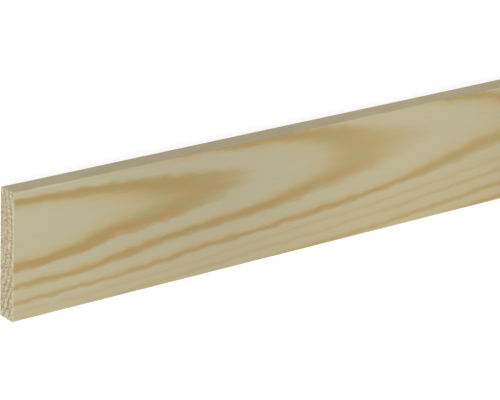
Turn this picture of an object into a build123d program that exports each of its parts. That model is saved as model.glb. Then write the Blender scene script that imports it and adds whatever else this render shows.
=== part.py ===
from build123d import *
import os

# A planed softwood strip of rectangular section, sawn square at both ends.
# It lies flat on one of its wide faces: the length runs along X, the width along Y
# and the thickness along Z. The origin is the middle of the face that it lies on.

# Driving dimensions, in millimetres
strip_length = 900.0
strip_width = 60.0
strip_thickness = 10.0
arris_radius = 0.4  # the planer leaves the four long edges just off sharp

# The strip is one piece of wood, so its planed section is drawn once, at one sawn end,
# and runs the whole length to the other end.
sawn_end = Plane.YZ.offset(-strip_length / 2)

with BuildPart() as wood_strip:
    with BuildSketch(sawn_end) as planed_section:
        Rectangle(strip_width, strip_thickness, align=(Align.CENTER, Align.MIN))
        fillet(planed_section.vertices(), radius=arris_radius)
    extrude(amount=strip_length)

wood_strip.part.label = "wood_strip"

os.makedirs("parts", exist_ok=True)
export_step(wood_strip.part, "parts/wood_strip.step")
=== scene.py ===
# %% [markdown]
# # A planed pine strip
#
# The object is one length of softwood, sawn from a log, planed on its four long sides and cut
# square at both ends. Its shape is almost a box, so nearly everything that the eye enjoys is in
# the wood itself: growth rings that sweep over the wide face as long pointed arches, run along the
# narrow edges as lines, and show on the ends as arcs.
#
# This lesson builds the wood before it builds the surface. One formula says how far any point of
# the strip was from the middle of the tree. The mesh uses it for the faint ridges that a planer
# leaves, and the materials use it for colour, so the rings agree on every side of the strip.

# %% Load the measured strip
import math

import bpy
import numpy as np
from mathutils import Matrix, Vector


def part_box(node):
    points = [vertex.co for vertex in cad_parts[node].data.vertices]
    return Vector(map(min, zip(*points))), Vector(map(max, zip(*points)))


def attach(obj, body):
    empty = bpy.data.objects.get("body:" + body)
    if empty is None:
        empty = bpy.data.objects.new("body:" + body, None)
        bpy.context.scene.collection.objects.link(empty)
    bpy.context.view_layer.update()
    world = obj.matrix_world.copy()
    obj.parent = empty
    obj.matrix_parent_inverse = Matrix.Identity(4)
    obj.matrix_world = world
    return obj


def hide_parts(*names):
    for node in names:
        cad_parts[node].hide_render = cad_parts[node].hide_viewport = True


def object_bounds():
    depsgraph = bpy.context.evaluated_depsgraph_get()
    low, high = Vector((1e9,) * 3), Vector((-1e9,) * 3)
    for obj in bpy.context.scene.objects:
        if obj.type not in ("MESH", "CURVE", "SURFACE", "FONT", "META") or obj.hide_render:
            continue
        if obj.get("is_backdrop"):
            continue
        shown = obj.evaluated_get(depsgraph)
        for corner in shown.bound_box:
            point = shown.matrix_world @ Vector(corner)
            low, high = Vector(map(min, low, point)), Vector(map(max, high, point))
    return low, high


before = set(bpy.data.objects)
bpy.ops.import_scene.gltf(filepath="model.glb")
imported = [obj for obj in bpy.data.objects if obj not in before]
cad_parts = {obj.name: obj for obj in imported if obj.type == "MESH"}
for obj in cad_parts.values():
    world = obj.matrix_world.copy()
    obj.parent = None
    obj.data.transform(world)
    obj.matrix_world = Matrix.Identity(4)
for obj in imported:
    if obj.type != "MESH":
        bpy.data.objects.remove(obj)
cad_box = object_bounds()

MM = 0.001
low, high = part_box("wood_strip")
LENGTH, WIDTH, THICKNESS = high - low
print(f"{list(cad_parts)}: {LENGTH / MM:.0f} x {WIDTH / MM:.0f} x {THICKNESS / MM:.0f} mm")

# %% [markdown]
# ## Shader maths as plain arithmetic
#
# A material is a tree of nodes, and a sum of three values takes two Math nodes and four links.
# Written out one by one that hides the idea. So a small class wraps a socket and gives it Python's
# operators: `1 - mask` adds the node for us. A second class is one finish, with a single method
# that adds any node, sets what it is, and then fills its sockets with numbers or links.


# %% Wires and finishes
class Wire:
    """An output socket. Arithmetic on it adds Math nodes to the finish that it belongs to."""

    def __init__(self, finish, socket):
        self.finish = finish
        self.socket = socket

    def maths(self, operation, first, second=0.0):
        return self.finish.add("ShaderNodeMath", {"operation": operation}, {0: first, 1: second})

    def __add__(self, other):
        return self.maths("ADD", self, other)

    def __radd__(self, other):
        return self.maths("ADD", other, self)

    def __sub__(self, other):
        return self.maths("SUBTRACT", self, other)

    def __rsub__(self, other):
        return self.maths("SUBTRACT", other, self)

    def __mul__(self, other):
        return self.maths("MULTIPLY", self, other)

    def __rmul__(self, other):
        return self.maths("MULTIPLY", other, self)

    def __truediv__(self, other):
        return self.maths("DIVIDE", self, other)

    def __rtruediv__(self, other):
        return self.maths("DIVIDE", other, self)


class Finish:
    """The node tree of one material, or of the sky, and the one method that adds a node to it."""

    def __init__(self, owner):
        owner.use_nodes = True
        self.owner = owner
        self.tree = owner.node_tree
        self.tree.nodes.clear()

    def add(self, kind, settings, sockets, out=0):
        node = self.tree.nodes.new(kind)
        for name, value in settings.items():
            setattr(node, name, value)
        for key, value in sockets.items():
            if isinstance(value, Wire):
                self.tree.links.new(value.socket, node.inputs[key])
            else:
                node.inputs[key].default_value = value
        return Wire(self, node.outputs[out]) if node.outputs else None


own_methods = [name for name in vars(Wire) if callable(getattr(Wire, name)) and not hasattr(object, name)]
print("a wire knows", own_methods)

# %% [markdown]
# ## One formula, two readers
#
# The growth formula below is read twice: by NumPy, with arrays of mesh points, and by the shader,
# with wires. Both understand `+` and `*` already. The few other functions that the formula needs
# look at what they are given and answer in kind.

# %% Functions for arrays and wires
TURN = 2 * math.pi


def sine(angle):
    return angle.maths("SINE", angle) if isinstance(angle, Wire) else np.sin(angle)


def root(value):
    return value.maths("SQRT", value) if isinstance(value, Wire) else np.sqrt(value)


def nearest_whole(value):
    return value.maths("ROUND", value) if isinstance(value, Wire) else np.round(value)


def ease(value, start, end):
    """0 before start, 1 after end, and an S-shaped rise between them."""
    if isinstance(value, Wire):
        limits = {"Value": value, "From Min": start, "From Max": end}
        return value.finish.add("ShaderNodeMapRange", {"interpolation_type": "SMOOTHSTEP"}, limits)
    share = np.clip((value - start) / (end - start), 0, 1)
    return share * share * (3 - 2 * share)


print("halfway up an eased step:", ease(0.5, 0, 1), "and a quarter turn's sine:", sine(TURN / 4))

# %% [markdown]
# ## Where the strip sat in the log
#
# The strip was sawn from the outer part of a log. The log's middle, the pith, ran behind the wide
# face that is now on top. It was not quite parallel to the saw: the face drifts away from the pith
# along the strip, so it cuts through ring after ring, and each one closes in a pointed arch. The
# pith also swayed sideways a little, and the rings themselves are never quite round: they run in
# long waves, and bulge where the growing tree had something to heal over.
#
# All of this could be painted as lines on the face, but then the edges and the ends would not join
# up with it. A distance from the pith, bent by a few waves and bulges, gives every side at once.

# %% Distance from the pith
# How far the pith lies behind the face and beside its middle, and the two slow waves that it makes
PITH_DEPTH = 72 * MM
PITH_DRIFT = 12 * MM
PITH_DRIFT_LENGTH = 2300 * MM
PITH_DRIFT_START = 0.06
PITH_SIDE = 11 * MM
PITH_SWAY = 4 * MM
PITH_SWAY_LENGTH = 2400 * MM
# Each wave: its height, its length along and across the strip, and where in its turn it begins
RING_WAVES = ((0.08 * MM, 150 * MM, 60 * MM, 0.75), (0.08 * MM, 120 * MM, -30 * MM, 0.25))
# Each bulge: its height, its middle along and across, and how far it reaches each way
RING_BULGES = (
    (0.5 * MM, 40 * MM, 30 * MM, 110 * MM, 14 * MM),
    (0.3 * MM, 0.0, -18 * MM, 40 * MM, 16 * MM),
    (0.3 * MM, 55 * MM, 0.0, 30 * MM, 12 * MM),
    (0.5 * MM, 100 * MM, -10 * MM, 70 * MM, 14 * MM),
    (0.25 * MM, 100 * MM, 12 * MM, 70 * MM, 16 * MM),
    (0.5 * MM, 165 * MM, -2 * MM, 45 * MM, 16 * MM),
    (0.4 * MM, 205 * MM, 12 * MM, 80 * MM, 18 * MM),
    (0.5 * MM, 270 * MM, 3 * MM, 60 * MM, 12 * MM),
)


def added_up(waves, along, across):
    total = 0.0
    for height, wave_along, wave_across, begins in waves:
        angle = along * (TURN / wave_along) + across * (TURN / wave_across) + TURN * begins
        total = total + height * sine(angle)
    return total


def bulges(along, across):
    total = 0.0
    for height, middle_along, middle_across, reach_along, reach_across in RING_BULGES:
        off_along = (along - middle_along) / reach_along
        off_across = (across - middle_across) / reach_across
        off_middle = root(off_along * off_along + off_across * off_across)
        total = total + height * (1 - ease(off_middle, 0, 1))
    return total


def distance_from_pith(x, y, z):
    along = x - low.x
    start = TURN * PITH_DRIFT_START
    drift = sine(along * (TURN / PITH_DRIFT_LENGTH) + (start - TURN / 4))
    depth = PITH_DEPTH + PITH_DRIFT * (drift + math.cos(start))
    side = PITH_SIDE + PITH_SWAY * sine(along * (TURN / PITH_SWAY_LENGTH))
    across = y - side
    behind = z - high.z + depth
    straight = root(across * across + behind * behind)
    return straight + added_up(RING_WAVES, along, y) + bulges(along, y)


for name, x in (("near", low.x), ("far", high.x)):
    print(f"middle of the {name} end: {distance_from_pith(x, 0.0, high.z) / MM:.1f} mm from the pith")

# %% [markdown]
# ## Good years and lean years
#
# A pine adds one ring a year: a wide pale band in spring, the earlywood, that turns gold and then
# darkens into a narrow brown band in late summer, the latewood. Rings differ, because weather comes
# in spells. Two slow waves over the radius squeeze and stretch the rings, and two waves over the
# ring's number make its latewood strong or faint. That is less work than a list of years, and it
# never runs out at the far end of the strip.

# %% Rings and latewood
RING_WIDTH = 2.6 * MM
FIRST_RING = 73.5 * MM
# Each spell: how far it shifts the rings, how long it lasts, and where it starts
RING_SPELLS = ((0.5 * MM, 18 * MM, 81 * MM), (0.3 * MM, 8 * MM, 73.5 * MM))
MEAN_VIGOUR = 0.55
# Each run of years: how much it adds, how many years it takes, and its best year
VIGOUR_RUNS = ((0.35, 6.0, 0.5), (0.15, 2.25, 0.0))
# Shares of a ring that gold and latewood take up before the latewood's middle and after it
GOLD_BEFORE, LATEWOOD_BEFORE, LATEWOOD_AFTER = 0.48, 0.26, 0.30
# Share of a ring, on each side of that middle, where they are full
CORE = 0.015
RINGS_ON_FACE = 7


def ring_number(radius):
    grown = radius - FIRST_RING
    for shift, spell, start in RING_SPELLS:
        grown = grown + shift * sine((radius - start) * (TURN / spell))
    return grown / RING_WIDTH


def year_vigour(year):
    vigour = MEAN_VIGOUR
    for swing, years, best in VIGOUR_RUNS:
        vigour = vigour + swing * sine((year - best) * (TURN / years) + TURN / 4)
    return vigour


def latewood_at(radius):
    """How much latewood and gold lie here, from 0 to 1, and the vigour of the year."""
    number = ring_number(radius)
    year = nearest_whole(number)
    vigour = year_vigour(year)
    phase = number - year
    kept = 1 - ease(phase, CORE, LATEWOOD_AFTER)
    latewood = ease(phase, -LATEWOOD_BEFORE, -CORE) * kept
    gold = ease(phase, -GOLD_BEFORE, -CORE) * kept
    return latewood, gold, vigour


print("vigour of the rings on the face:", year_vigour(np.arange(RINGS_ON_FACE)).round(2))

# %% [markdown]
# ## The strip as a box of fine cells
#
# A plain cube would have nowhere to hold relief. So the surface is a lattice: points along the
# length, the width and the thickness, kept only where they lie on the outside. Six grids of quads
# then share their border points, and the mesh is closed without any welding. The outermost cells
# along the four long edges fold over the arris, the edge where two planed sides meet. Points
# crowd together near the two ends, where the saw has left more to see.

# %% Lattice of the strip
CELLS_ALONG, CELLS_ACROSS, CELLS_THROUGH = 240, 150, 24
ARRIS = 0.4 * MM
SUPPORT = 0.12 * MM
END_CROWDING = 0.86


def spaced(start, end, cells):
    """Places from start to end, with the arris and one close row of support at each side."""
    first = [start, start + ARRIS]
    last = [end - ARRIS, end]
    inner_count = cells + 1 - len(first) - len(last)
    inner = np.linspace(first[-1] + SUPPORT, last[0] - SUPPORT, inner_count)
    return np.concatenate((first, inner, last))


even = np.linspace(-1, 1, CELLS_ALONG + 1)
crowded = (1 - END_CROWDING) * even + END_CROWDING * np.sin(even * TURN / 4)
along_places = (low.x + high.x) / 2 + crowded * LENGTH / 2
across_places = spaced(low.y, high.y, CELLS_ACROSS)
through_places = spaced(low.z, high.z, CELLS_THROUGH)

outside = np.ones((CELLS_ALONG + 1, CELLS_ACROSS + 1, CELLS_THROUGH + 1), bool)
outside[1:-1, 1:-1, 1:-1] = False
point_number = np.full(outside.shape, -1)
point_number[outside] = np.arange(outside.sum())
step_along, step_across, step_through = np.nonzero(outside)
x, y, z = along_places[step_along], across_places[step_across], through_places[step_through]
print(f"{len(x)} points, {np.diff(along_places).min() / MM:.2f} mm apart at the ends")

# %% [markdown]
# ## What the planer leaves
#
# A planer's knives press the soft earlywood down as they cut, and the hard latewood stays a hair
# proud. The difference is a few hundredths of a millimetre, which a fingertip feels and low light
# shows. The arrises are eased and a little worn. All relief goes inwards from the measured box, so
# the strip never grows.

# %% Relief of the planed sides
EARLYWOOD_SINK = 0.035 * MM
ARRIS_WEAR = 0.10 * MM
# Each wave of wear: its length along the arris, and its share of the depth
WEAR_WAVES = ((71 * MM, 0.40), (23 * MM, 0.35), (9.7 * MM, 0.25))

end_side = np.where(step_along == CELLS_ALONG, 1, np.where(step_along == 0, -1, 0))
edge_side = np.where(step_across == CELLS_ACROSS, 1, np.where(step_across == 0, -1, 0))
face_side = np.where(step_through == CELLS_THROUGH, 1, np.where(step_through == 0, -1, 0))
on_arris = (edge_side != 0) & (face_side != 0)

latewood, _, _ = latewood_at(distance_from_pith(x, y, z))
planed_sink = EARLYWOOD_SINK * (1 - latewood)
wear = np.zeros_like(x)
own_start = 2 * edge_side + face_side  # another one on each of the four arrises
for wave_along, share in WEAR_WAVES:
    wear += share * (1 + np.sin(TURN * x / wave_along + own_start)) / 2
rounded_off = ARRIS * (1 - math.sqrt(1 / 2))  # the middle of a quarter circle, in from its corner
worn_off = ARRIS_WEAR * wear**2
side_sink = np.where(on_arris, rounded_off + worn_off, planed_sink)
print(f"planed relief {np.ptp(planed_sink) / MM:.3f} mm")
print(f"arrises worn by up to {worn_off.max() / MM:.2f} mm")

# %% [markdown]
# ## What the saw leaves
#
# The saw is rougher than the planer. Its teeth leave shallow grooves on the end, as arcs round the
# axle that the blade turned on. They tear some of the soft fibres out, and break the sharp border
# into small chips. The distance from the axle is another formula that mesh and finish share. Most
# grooves, tears and chips are slight and a few are deep, so the random shares are squared or cubed.

# %% Relief of the sawn ends
SAW_AXLE_ACROSS, SAW_AXLE_UP = -160 * MM, 45 * MM
GROOVE_WIDTH, GROOVE_DEPTH = 0.8 * MM, 0.09 * MM
TORN_DEPTH, LATEWOOD_HOLD = 0.05 * MM, 0.6
CHIP_LEAST, CHIP_MOST = 0.12 * MM, 0.32 * MM
SEED = 7
chance = np.random.default_rng(SEED)


def saw_reach(y, z):
    across = y - SAW_AXLE_ACROSS
    up = z - SAW_AXLE_UP
    return root(across * across + up * up)


reach = saw_reach(y, z)
groove_places = np.arange(reach.min(), reach.max() + GROOVE_WIDTH, GROOVE_WIDTH)
groove_depths = GROOVE_DEPTH * chance.random(len(groove_places)) ** 2
grooves = np.interp(reach, groove_places, groove_depths)
torn = TORN_DEPTH * chance.random(len(x)) ** 3 * (1 - LATEWOOD_HOLD * latewood)
chips = CHIP_LEAST + (CHIP_MOST - CHIP_LEAST) * chance.random(len(x)) ** 2
on_border = (end_side != 0) & ((edge_side != 0) | (face_side != 0))
end_sink = np.where(on_border, chips, grooves + torn)
points = np.stack([x - end_side * end_sink, y - edge_side * side_sink, z - face_side * side_sink], 1)
print(f"{len(groove_places)} saw grooves up to {grooves.max() / MM:.2f} mm deep")
print(f"{on_border.sum()} chipped points round the ends")

# %% [markdown]
# ## Skinning the lattice, with a map for each side
#
# Each of the six sides is a grid of point numbers. Turning a grid into quads is the same small
# function each time, and only the winding differs, so that every face looks outwards. The same
# loop lays the sides out on a UV map: the four long sides as rows, one above the other, and the
# two ends, where detail is finest, much larger below them.

# %% Six grids of quads
# Shares of the map: a gap, the height of the row of ends, and the width that each end gets
ROW_GAP = 0.006
END_ROW = 0.105
END_SPAN = 0.5
GAPS_UP = 6  # above, below and between the five rows
LONG_SIDES, ENDS = 4, 2
row_scale = (1 - END_ROW - GAPS_UP * ROW_GAP) / (2 * WIDTH + 2 * THICKNESS)


def quads(grid, flip):
    corners = np.stack([grid[:-1, :-1], grid[1:, :-1], grid[1:, 1:], grid[:-1, 1:]], -1).reshape(-1, 4)
    return corners[:, ::-1] if flip else corners


def laid_out(values, start, span):
    return start + span * (values - values.min()) / np.ptp(values)


# Each side: its grid, whether its winding turns over, and its place on the map across and up
sides = []
row = 1.0
for grid, flip, rise, height in (
    (point_number[:, :, -1], False, y, WIDTH),
    (point_number[:, :, 0], True, y, WIDTH),
    (point_number[:, -1, :], True, z, THICKNESS),
    (point_number[:, 0, :], False, z, THICKNESS),
):
    row -= ROW_GAP + height * row_scale
    across = laid_out(x, ROW_GAP, 1 - 2 * ROW_GAP)
    sides.append((grid, flip, across, laid_out(rise, row, height * row_scale)))
for grid, flip, start in ((point_number[-1], False, END_SPAN), (point_number[0], True, 0.0)):
    across = laid_out(y, start + ROW_GAP, END_SPAN - 2 * ROW_GAP)
    sides.append((grid, flip, across, laid_out(z, ROW_GAP, END_ROW)))

side_faces = [quads(grid, flip) for grid, flip, _, _ in sides]
side_maps = [np.stack([across[f], up[f]], -1) for f, (_, _, across, up) in zip(side_faces, sides)]
faces = np.concatenate(side_faces)
is_end = np.repeat([False] * LONG_SIDES + [True] * ENDS, [len(f) for f in side_faces])
print(f"{len(faces)} quads on {len(sides)} sides, {is_end.sum()} of them on the ends")

# %% [markdown]
# ## The mesh
#
# The quads are shaded smoothly, so that the relief flows from cell to cell. Only the border round
# each end is marked sharp: there the saw cut through the planed sides.

# %% Mesh of the strip
mesh = bpy.data.meshes.new("pine_strip")
mesh.from_pydata(points.tolist(), [], faces.tolist())
mesh.polygons.foreach_set("use_smooth", np.ones(len(faces), bool))
mesh.polygons.foreach_set("material_index", is_end.astype(np.int32))
side_map = mesh.uv_layers.new(name="OFBake")
side_map.uv.foreach_set("vector", np.concatenate(side_maps).astype(np.float32).ravel())

ends_of_edges = np.empty(2 * len(mesh.edges), np.int32)
mesh.edges.foreach_get("vertices", ends_of_edges)
border_edges = on_border[ends_of_edges.reshape(-1, 2)].all(1)
sharp = mesh.attributes.new("sharp_edge", "BOOLEAN", "EDGE")
sharp.data.foreach_set("value", border_edges)
mesh.update()

strip = bpy.data.objects.new("pine_strip", mesh)
bpy.context.scene.collection.objects.link(strip)
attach(strip, "root")
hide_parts("wood_strip")
print(f"{2 * len(faces)} triangles, {border_edges.sum()} sharp edges round the ends")

# %% [markdown]
# ## Colours of bare pine
#
# Colours are easiest to judge as the screen shows them, from 0 to 255, but a shader wants linear
# light. One function turns the first into the second. Bare pine is cream in spring wood, a little
# warmer towards the bark. Where a ring starts to darken it is gold, here yellow and there orange,
# and its hardest latewood is a dull brown between olive and rust. Torn fibres are palest, and their
# colour also paints a highlight along the border of each end.


# %% Pine colours
def screen_colour(red, green, blue):
    """Linear light, and full alpha, of a screen colour, by the standard sRGB curve."""
    shares = [channel / 255 for channel in (red, green, blue)]
    linear = [s / 12.92 if s <= 0.04045 else ((s + 0.055) / 1.055) ** 2.4 for s in shares]
    return (*linear, 1.0)


INNER_EARLYWOOD = screen_colour(187, 180, 147)
OUTER_EARLYWOOD = screen_colour(191, 177, 138)
EDGE_EARLYWOOD = screen_colour(189, 177, 136)
YELLOW_GOLD, ORANGE_GOLD = screen_colour(182, 167, 106), screen_colour(194, 160, 100)
OLIVE_LATEWOOD, RUSTY_LATEWOOD = screen_colour(171, 150, 99), screen_colour(179, 147, 97)
# Pale torn fibre, whose colour also paints a highlight along the border of each end
TORN_FIBRE_AND_HIGHLIGHT = screen_colour(220, 210, 184)
print("rusty latewood in linear light:", [round(c, 3) for c in RUSTY_LATEWOOD[:3]])

# %% [markdown]
# ## Wood inside a finish
#
# Both finishes start the same way: take the point's place on the strip, work out its distance from
# the pith, and let the fibres disturb it a little. Short ripples push the rings sideways by a
# millimetre or so, as wavy grain does. Streaks and feathers are noise stretched along the strip,
# twenty to fifty times longer than wide, and move the rings in and out by less than a tenth of one.
# Where a ring runs almost flush with the surface, that feathers its border, as on the real face.

# %% Wood seen by a finish
# Each layer of fibres: its length, its width, and how far it moves the rings, sideways or in and out
RIPPLES = (10 * MM, 5 * MM, 3.4 * MM)
STREAKS = (70 * MM, 3.2 * MM, 0.30 * MM)
FEATHERS = (26 * MM, 0.5 * MM, 0.18 * MM)
NOISE_DETAIL, NOISE_MIDDLE = 1.5, 0.5
# A Mix node has sockets for every kind of data. These are its two colours and the mixed one.
MIX_BELOW, MIX_ABOVE, MIX_RESULT = 6, 7, 2


class WoodPoint:
    """The place of a shaded point, with the wood that a finish finds there."""

    def __init__(self, name):
        self.finish = Finish(bpy.data.materials.new(name))
        place = self.finish.add("ShaderNodeTexCoord", {}, {}, out="Object")
        axes = [self.finish.add("ShaderNodeSeparateXYZ", {}, {0: place}, out=axis) for axis in "XYZ"]
        self.x, self.y, self.z = axes
        length, width, shift = RIPPLES
        self.radius = distance_from_pith(self.x, self.y + shift * self.fibres(length, width), self.z)
        for length, width, shift in (STREAKS, FEATHERS):
            self.radius = self.radius + shift * self.fibres(length, width)
        self.latewood, self.gold, self.vigour = latewood_at(self.radius)

    def place(self, along, across, up):
        return self.finish.add("ShaderNodeCombineXYZ", {}, {"X": along, "Y": across, "Z": up})

    def noise(self, place):
        """Smooth noise round 0, up to about a half each way."""
        sockets = {"Vector": place, "Scale": 1.0, "Detail": NOISE_DETAIL}
        return self.finish.add("ShaderNodeTexNoise", {}, sockets) - NOISE_MIDDLE

    def fibres(self, length, width):
        return self.noise(self.place(self.x / length, self.y / width, self.z / width))

    def blend(self, share, below, above):
        sockets = {"Factor": share, MIX_BELOW: below, MIX_ABOVE: above}
        return self.finish.add("ShaderNodeMix", {"data_type": "RGBA"}, sockets, out=MIX_RESULT)

    def toned(self, colour, tone):
        sockets = {0: colour, "Scale": tone}
        return self.finish.add("ShaderNodeVectorMath", {"operation": "SCALE"}, sockets)

    def shade(self, colour, roughness, height):
        bump = self.finish.add("ShaderNodeBump", {}, {"Distance": 1.0, "Height": height})
        sockets = {"Base Color": colour, "Roughness": roughness, "Normal": bump}
        shader = self.finish.add("ShaderNodeBsdfPrincipled", {}, sockets)
        self.finish.add("ShaderNodeOutputMaterial", {}, {"Surface": shader})
        return self.finish.owner


print("a finish can ask for", [name for name in vars(WoodPoint) if not name.startswith("__")])

# %% [markdown]
# ## Rings on the planed sides
#
# The planed finish covers the two wide faces and the two narrow edges. Its colour follows the
# rings: cream earlywood, then gold, then brown where a strong year's latewood is densest. A colour
# ramp over the ring would do that, but every band would be as even as a printed line. So each
# colour is blended over the last by a share of its own. The tips of the arches are paler, patches
# make a band denser here and fainter there, and its hue wanders between yellow and rust. The
# narrow edges are cut almost along the rings and look plainer. At the ends the saw has frayed the
# border pale, and that pale line is also a painted highlight along the end's border.

# %% Ring colour
# Each layer of unevenness: its length, its width, and how far it swings
PATCHES = (55 * MM, 8 * MM, 0.35)
RUST = (24 * MM, 5 * MM, 3.2)
MEAN_RUST = 0.5
# Pale stripes at the arches' tips: their middle across the strip, their spacing, and how pale they are
TIPS_ACROSS, TIP_SPACING, TIP_PALENESS = 12 * MM, 40 * MM, 0.2
# Distances from the pith between which the earlywood grows warmer
WARM_START, WARM_END = 70 * MM, 90 * MM
NARROW_PLAINNESS = 0.8
GOLD_SHARE = 0.85
# A pale band near each end, frayed fibre and partly a painted highlight: where it starts and ends, its
# raggedness, and its share
FRAY_AND_HIGHLIGHT_START, FRAY_AND_HIGHLIGHT_END = 0.2 * MM, 0.9 * MM
FRAY_AND_HIGHLIGHT_SIZE = 1.5 * MM
FRAY_AND_HIGHLIGHT_SHARE = 0.3


def size_of(value):
    return value.maths("ABSOLUTE", value)


def ring_colour(wood, narrow):
    length, width, swing = PATCHES
    tips = sine((wood.y - TIPS_ACROSS) * (TURN / TIP_SPACING) + TURN / 4)
    density = 1 - TIP_PALENESS * tips + swing * wood.fibres(length, width)
    contrast = (1 - NARROW_PLAINNESS * narrow) * wood.vigour * density
    strength = wood.latewood * contrast
    warmth = ease(wood.radius, WARM_START, WARM_END)
    colour = wood.blend(warmth, INNER_EARLYWOOD, OUTER_EARLYWOOD)
    colour = wood.blend(narrow, colour, EDGE_EARLYWOOD)
    length, width, swing = RUST
    rust = MEAN_RUST + swing * wood.fibres(length, width)
    gold = wood.blend(rust, YELLOW_GOLD, ORANGE_GOLD)
    latewood = wood.blend(rust, OLIVE_LATEWOOD, RUSTY_LATEWOOD)
    colour = wood.blend(GOLD_SHARE * wood.gold * contrast, colour, gold)
    colour = wood.blend(strength, colour, latewood)
    # Pale line along each end: partly frayed fibre, partly a painted highlight
    to_border = LENGTH / 2 - size_of(wood.x) + FRAY_AND_HIGHLIGHT_SIZE * wood.fibres(FRAY_AND_HIGHLIGHT_SIZE, FRAY_AND_HIGHLIGHT_SIZE)
    fray_and_highlight = 1 - ease(to_border, FRAY_AND_HIGHLIGHT_START, FRAY_AND_HIGHLIGHT_END)
    return wood.blend(FRAY_AND_HIGHLIGHT_SHARE * fray_and_highlight, colour, TORN_FIBRE_AND_HIGHLIGHT), strength


print("latewood on the narrow edges has", f"{1 - NARROW_PLAINNESS:.0%}", "of its strength")

# %% [markdown]
# ## Worn arrises
#
# Handling rubs the sharp edges first. Bruised fibres scatter the light, so a worn arris looks pale:
# most near the ends, where a strip is held, and in patches along the rest. A mask could be painted
# by hand along each edge. The distance from the arris says the same for all four at once.

# %% Wear along the arrises
# The distances at which wear is full and gone, the length of its patches, and how fast they set in
WEAR_CORE, WEAR_REACH, WEAR_LENGTH, WEAR_RISE = 0.2 * MM, 1.5 * MM, 30 * MM, 0.2
# How far from an end the strip is held, and the shares of wear from holding it and in patches
HANDLED_LENGTH, HANDLED_SHARE, PATCH_SHARE = 90 * MM, 0.26, 0.2


def worn_arris(wood):
    """How pale the arris is here: most near the ends, and in patches all along."""
    over_edge = WIDTH / 2 - size_of(wood.y)
    over_face = THICKNESS / 2 - size_of(wood.z - (low.z + high.z) / 2)
    close = 1 - ease(root(over_edge * over_edge + over_face * over_face), WEAR_CORE, WEAR_REACH)
    handled = 1 - ease(LENGTH / 2 - size_of(wood.x), 0.0, HANDLED_LENGTH)
    patches = ease(wood.fibres(WEAR_LENGTH, WEAR_LENGTH), 0.0, WEAR_RISE)
    return close * (HANDLED_SHARE * handled + PATCH_SHARE * patches)


print(f"wear fades out {WEAR_REACH / MM:.1f} mm from the arris")

# %% [markdown]
# ## Tone, canals and gloss
#
# Over the rings lie quieter things that keep the wood from looking printed: a slow change of tone
# along the board, streaks of fibre, blotches on the narrow edges, and resin canals, which a plane
# cuts open into thin dark dashes. The canals are cells of a Voronoi texture, stretched until only
# their middles show. Hard latewood takes a little more polish. Fibres and canals are finer than the
# mesh, so a bump gives their depth.

# %% Planed finish
# Each layer of tone: its length, its width, and how much it lightens and darkens
BOARD_TONE = (190 * MM, 40 * MM, 0.06)
FIBRE_TONE = (22 * MM, 0.4 * MM, 0.10)
HAIR_TONE = (9 * MM, 0.11 * MM, 0.12)
NARROW_BLOTCHES = (17 * MM, 8 * MM, 0.25)
# The slow change of tone: its length, where it is lightest, and its swing
SLOW_LENGTH, SLOW_CREST, SLOW_SWING = 250 * MM, 230 * MM, 0.05
CANAL_LENGTH, CANAL_SPACING, CANAL_DARKNESS = 34 * MM, 2.1 * MM, 0.16
CANAL_CORE, CANAL_RIM = 0.03, 0.10
NARROW_FULL = 0.08 * MM
PLANED_ROUGHNESS, LATEWOOD_POLISH = 0.58, 0.10
FIBRE_BUMP = 0.25 * MM


def planed_pine():
    wood = WoodPoint("planed_pine")
    narrow = ease(size_of(wood.y), WIDTH / 2 - ARRIS, WIDTH / 2 - NARROW_FULL)
    colour, strength = ring_colour(wood, narrow)
    colour = wood.blend(worn_arris(wood), colour, TORN_FIBRE_AND_HIGHLIGHT)
    slow_turn = (wood.x - low.x - SLOW_CREST) * (TURN / SLOW_LENGTH) + TURN / 4
    length, width, swing = NARROW_BLOTCHES
    tone = 1 + SLOW_SWING * sine(slow_turn) + swing * narrow * wood.fibres(length, width)
    grain = 0.0
    for length, width, swing in (BOARD_TONE, FIBRE_TONE, HAIR_TONE):
        grain = grain + swing * wood.fibres(length, width)
    stretched = wood.place(wood.x / CANAL_LENGTH, wood.y / CANAL_SPACING, wood.z / CANAL_SPACING)
    to_canal = wood.finish.add("ShaderNodeTexVoronoi", {}, {"Vector": stretched, "Scale": 1.0})
    canal = 1 - ease(to_canal, CANAL_CORE, CANAL_RIM)
    grain = grain - CANAL_DARKNESS * canal
    roughness = PLANED_ROUGHNESS - LATEWOOD_POLISH * strength
    return wood.shade(wood.toned(colour, tone + grain), roughness, FIBRE_BUMP * grain)


strip.data.materials.append(planed_pine())
print(len(strip.data.materials[0].node_tree.nodes), "nodes in the planed finish")

# %% [markdown]
# ## The sawn ends
#
# End grain is the same wood seen along its fibres. Latewood shows as thin, greyer lines, and the
# saw tears the soft earlywood into pale flecks and little pits, whose shade is painted dark. They
# lie along the saw's arcs, so their noise is measured round the axle of the blade: short across the
# scratches, longer along them. The border is frayed and pale, as it is on the planed sides, and
# that pale line is partly a painted highlight.

# %% Sawn end grain
END_EARLYWOOD = screen_colour(190, 178, 145)
END_LATEWOOD = screen_colour(157, 144, 110)
# Colour of the painted shade in the pits of torn end grain
PIT_SHADE = screen_colour(126, 112, 82)
FAINTEST_RING = 0.5
SCRATCH_WIDTH, SCRATCH_LENGTH, SCRATCH_SWING = 0.22 * MM, 6 * MM, 0.42
TEAR_WIDTH, TEAR_LENGTH = 0.7 * MM, 1.5 * MM
TEAR_START, TEAR_FULL = 0.05, 0.2
# How strongly flecks are paled, and how strongly pits are darkened with painted shade
FLECK_SHARE, PIT_SHADE_SHARE = 0.9, 0.68
# Pale rim round the end's border, frayed fibre and partly a painted highlight: where it starts and ends,
# and its share
RIM_START, RIM_END, RIM_FRAY_AND_HIGHLIGHT_SHARE = 0.1 * MM, 1.4 * MM, 0.32
END_ROUGHNESS = 0.85
END_BUMP = 0.10 * MM


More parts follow.
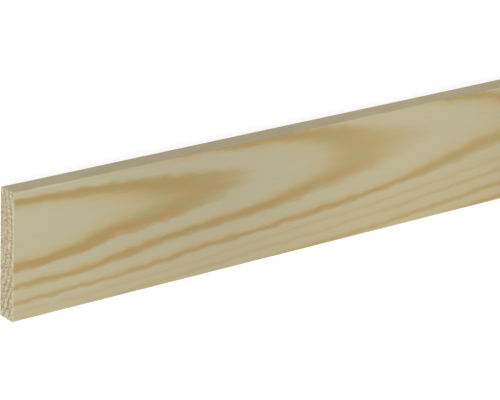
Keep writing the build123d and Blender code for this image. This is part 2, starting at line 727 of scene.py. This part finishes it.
def sawn_end_grain():
    wood = WoodPoint("sawn_end_grain")
    strength = wood.latewood * (FAINTEST_RING + (1 - FAINTEST_RING) * wood.vigour)
    colour = wood.blend(strength, END_EARLYWOOD, END_LATEWOOD)
    reach = saw_reach(wood.y, wood.z)
    axle_distance = math.hypot(SAW_AXLE_ACROSS, SAW_AXLE_UP)
    sweep = (wood.y * SAW_AXLE_UP - wood.z * SAW_AXLE_ACROSS) / axle_distance
    scratch = wood.noise(wood.place(reach / SCRATCH_WIDTH, sweep / SCRATCH_LENGTH, wood.x / LENGTH))
    tear = wood.noise(wood.place(reach / TEAR_WIDTH, sweep / TEAR_LENGTH, wood.x / LENGTH))
    fleck = ease(tear, TEAR_START, TEAR_FULL)
    shaded_pit = ease(0 - tear, TEAR_START, TEAR_FULL)
    colour = wood.blend(FLECK_SHARE * fleck * (1 - strength), colour, TORN_FIBRE_AND_HIGHLIGHT)
    # Painted shade in the pits
    colour = wood.blend(PIT_SHADE_SHARE * shaded_pit, colour, PIT_SHADE)
    colour = wood.toned(colour, 1 + SCRATCH_SWING * scratch)
    rim = WIDTH / 2 - size_of(wood.y)
    for border in (wood.z - low.z, high.z - wood.z):
        rim = rim.maths("MINIMUM", rim, border)
    # Pale rim along the border: frayed fibre, and partly a painted highlight
    colour = wood.blend(RIM_FRAY_AND_HIGHLIGHT_SHARE * (1 - ease(rim, RIM_START, RIM_END)), colour, TORN_FIBRE_AND_HIGHLIGHT)
    return wood.shade(colour, END_ROUGHNESS, END_BUMP * (fleck - shaded_pit + scratch))


strip.data.materials.append(sawn_end_grain())
print(len(strip.data.materials[1].node_tree.nodes), "nodes in the sawn finish")

# %% [markdown]
# ## A pale floor
#
# The strip lies on a plain white floor that is large enough to fill every view. White paint alone
# would show a strong shadow. So the paint is grey and the floor gives off light of its own: together
# they are white, and the shadow beside the strip stays faint.

# %% Floor
WHITE = (1.0, 1.0, 1.0, 1.0)
FLOOR_SIZE = 80.0
FLOOR_GAP = 0.1 * MM
FLOOR_GREY = (0.22, 0.22, 0.22, 1.0)
FLOOR_GLOW = 0.82

half = FLOOR_SIZE / 2
floor_mesh = bpy.data.meshes.new("studio_floor")
floor_corners = [(-half, -half, 0), (half, -half, 0), (half, half, 0), (-half, half, 0)]
floor_mesh.from_pydata(floor_corners, [], [(0, 1, 2, 3)])
floor = bpy.data.objects.new("studio_floor", floor_mesh)
floor.location.z = low.z - FLOOR_GAP
bpy.context.scene.collection.objects.link(floor)
floor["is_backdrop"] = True

paint = Finish(bpy.data.materials.new("floor_paint"))
matt = {"Base Color": FLOOR_GREY, "Roughness": 1.0, "Specular IOR Level": 0.0}
glow = {"Emission Color": WHITE, "Emission Strength": FLOOR_GLOW}
painted = paint.add("ShaderNodeBsdfPrincipled", {}, {**matt, **glow})
paint.add("ShaderNodeOutputMaterial", {}, {"Surface": painted})
floor.data.materials.append(paint.owner)
print(f"floor {FLOOR_SIZE:.0f} m wide, {FLOOR_GAP / MM:.1f} mm under the strip")

# %% [markdown]
# ## Soft light
#
# The light is a dim sky all round and one broad lamp, high over the near end. So the top face and
# the near end are about equally bright and the narrow edges are darker. The sky is white near the
# horizon, where a low camera sees it behind the floor.

# %% Sky and lamp
SKY_STRENGTH, HORIZON_STRENGTH = 0.13, 1.05
HORIZON_START, HORIZON_END = 0.02, 0.07
LAMP_STRENGTH = 3.0
LAMP_SPREAD = math.radians(60)
LAMP_SIDE = Vector((-0.45, -0.12, 0.89))

sky = Finish(bpy.data.worlds.new("studio_sky"))
direction = sky.add("ShaderNodeTexCoord", {}, {}, out="Generated")
rise = sky.add("ShaderNodeSeparateXYZ", {}, {0: direction}, out="Z")
above = ease(rise, HORIZON_START, HORIZON_END)
brightness = HORIZON_STRENGTH + (SKY_STRENGTH - HORIZON_STRENGTH) * above
background = sky.add("ShaderNodeBackground", {}, {"Color": WHITE, "Strength": brightness})
sky.add("ShaderNodeOutputWorld", {}, {"Surface": background})
bpy.context.scene.world = sky.owner

lamp_data = bpy.data.lights.new("broad_lamp", "SUN")
lamp_data.energy = LAMP_STRENGTH
lamp_data.angle = LAMP_SPREAD
lamp = bpy.data.objects.new("broad_lamp", lamp_data)
lamp.rotation_euler = LAMP_SIDE.to_track_quat("Z", "Y").to_euler()
bpy.context.scene.collection.objects.link(lamp)
bpy.context.scene.view_settings.view_transform = "Standard"
print(f"lamp {math.degrees(math.asin(LAMP_SIDE.normalized().z)):.0f} degrees above the floor")

# %% [markdown]
# ## The camera
#
# The picture is taken from far off with a long lens, over the near end, so the strip runs out of
# the right side of the frame. The camera is tipped so that the strip's width points up the
# picture, as though the strip stood on its edge. It is placed by the point that it looks at, on the
# top face, by the direction it looks from, and by how far away it is.

# %% Camera over the near end
LENS = 184.4
CAMERA_AIM = Vector((low.x + 131.3 * MM, 1.24 * MM, high.z))
CAMERA_SIDE = Vector((-0.599, 0.339, 0.7255))
CAMERA_REACH = 1.1845
CAMERA_ROLL = math.radians(2.4)

back = CAMERA_SIDE.normalized()
right = Vector((0, 1, 0)).cross(back).normalized()
upright = Matrix((right, back.cross(right), back)).transposed()
turned = upright @ Matrix.Rotation(CAMERA_ROLL, 3, "Z")
camera_data = bpy.data.cameras.new("camera")
camera_data.lens = LENS
camera = bpy.data.objects.new("camera", camera_data)
camera.matrix_world = Matrix.Translation(CAMERA_AIM + back * CAMERA_REACH) @ turned.to_4x4()
bpy.context.scene.collection.objects.link(camera)
bpy.context.scene.camera = camera
print("camera at", [round(c, 3) for c in camera.location], "m")

# %% [markdown]
# ## Compare the sizes
#
# The dressed strip must not be larger than the measured one. The spare room between the two
# boxes, on their far sides, is printed.

# %% Sizes
dressed_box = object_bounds()
spare = [(high_cad - high_drawn) / MM for high_cad, high_drawn in zip(cad_box[1], dressed_box[1])]
print("spare room on the far sides, in mm:", [round(s, 4) for s in spare])
